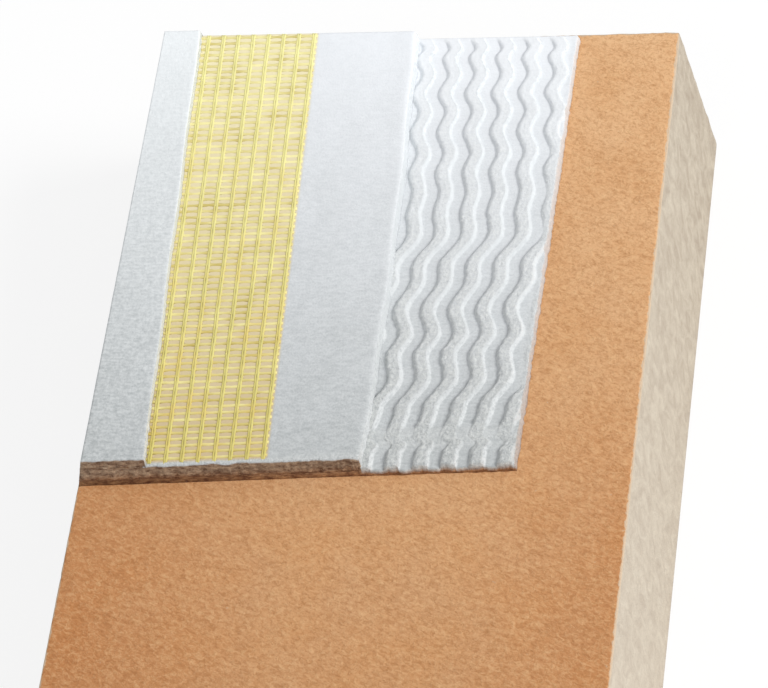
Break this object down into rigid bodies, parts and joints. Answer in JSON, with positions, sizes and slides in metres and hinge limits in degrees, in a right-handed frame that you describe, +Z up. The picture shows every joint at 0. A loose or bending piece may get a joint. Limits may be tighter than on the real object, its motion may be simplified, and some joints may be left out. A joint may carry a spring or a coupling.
{
  "type": "wood fibre insulation board with a stepped render build-up",
  "caption": "Thick pressed wood fibre insulation board lying flat, part covered by combed and levelled base coat, glass-fibre mesh and finish coat in stepped strips.",
  "frame": {"origin": "middle of the board's underside, the face it lies on", "axes": "+X across the board's width to the bare side, +Y along its length to the end where the coats start, +Z up out of the coated face"},
  "size_m": [0.4, 0.6, 0.1835],
  "materials": {
    "wood_fibre": "matte pressed fibre",
    "base_coat": "matte mortar",
    "mesh": "coated glass fibre",
    "finish_coat": "fine-grained matte render"
  },
  "bodies": {
    "root": {"insulation_board": "wood_fibre", "combed_base_coat": "base_coat", "levelled_base_coat": "base_coat", "mesh_far": "mesh", "mesh_middle": "mesh", "mesh_near": "mesh", "finish_coat": "finish_coat"}
  },
  "joints": []
}
